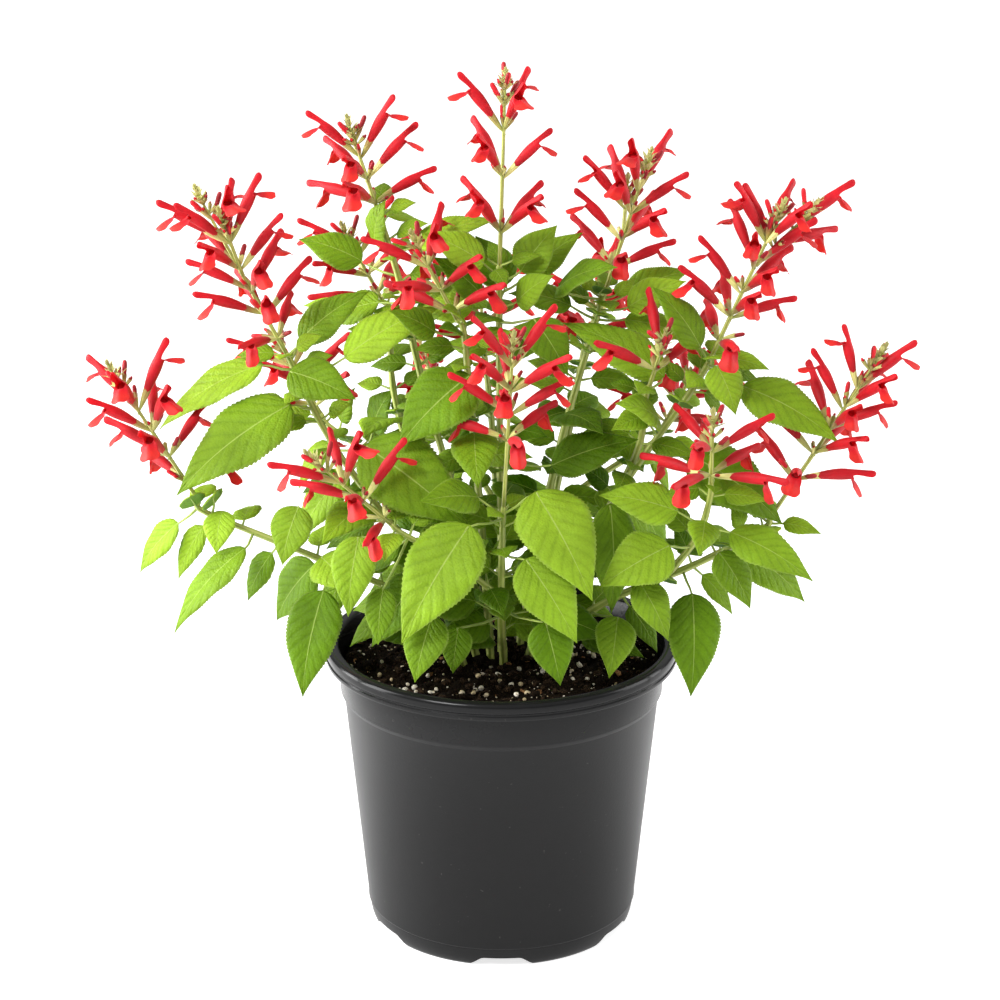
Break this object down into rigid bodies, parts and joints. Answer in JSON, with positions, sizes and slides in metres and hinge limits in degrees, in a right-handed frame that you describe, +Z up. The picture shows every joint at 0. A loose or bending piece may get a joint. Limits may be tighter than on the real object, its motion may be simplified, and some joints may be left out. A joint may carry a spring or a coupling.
{
  "type": "potted pineapple sage",
  "caption": "Pineapple sage in flower in a round nursery pot: square stems, toothed leaves and upright sprays of red tubular flowers over dark soil.",
  "frame": {"origin": "middle of the flat underside of the pot, on the surface that it stands on", "axes": "+Z up along the pot's axis, -Y towards the front of the plant"},
  "size_m": [0.4318, 0.2583, 0.467],
  "materials": {
    "pot_plastic": "satin",
    "soil": "matte",
    "foliage": "matte",
    "blossom": "matte"
  },
  "bodies": {
    "root": {"pot": "pot_plastic", "potting_soil": "soil", "stem_centre": "foliage", "stem_mid_left": "foliage", "stem_left": "foliage", "stem_left_low": "foliage", "stem_top_left": "foliage", "stem_right_top": "foliage", "stem_right": "foliage", "stem_right_low": "foliage", "stem_front": "foliage", "stem_back_left": "foliage", "stem_back": "foliage", "stem_back_right": "foliage", "spray_centre_top": "blossom", "spray_top_left": "blossom", "spray_left": "blossom", "spray_far_left": "blossom", "spray_low_left": "blossom", "spray_mid_left": "blossom", "spray_centre_front": "blossom", "spray_right_top": "blossom", "spray_right": "blossom", "spray_far_right": "blossom", "spray_low_right": "blossom", "spray_mid_right": "blossom", "spray_back_left": "blossom", "spray_back_far_left": "blossom", "spray_back": "blossom", "spray_back_low": "blossom", "spray_back_right": "blossom", "spray_back_far_right": "blossom"}
  },
  "joints": []
}
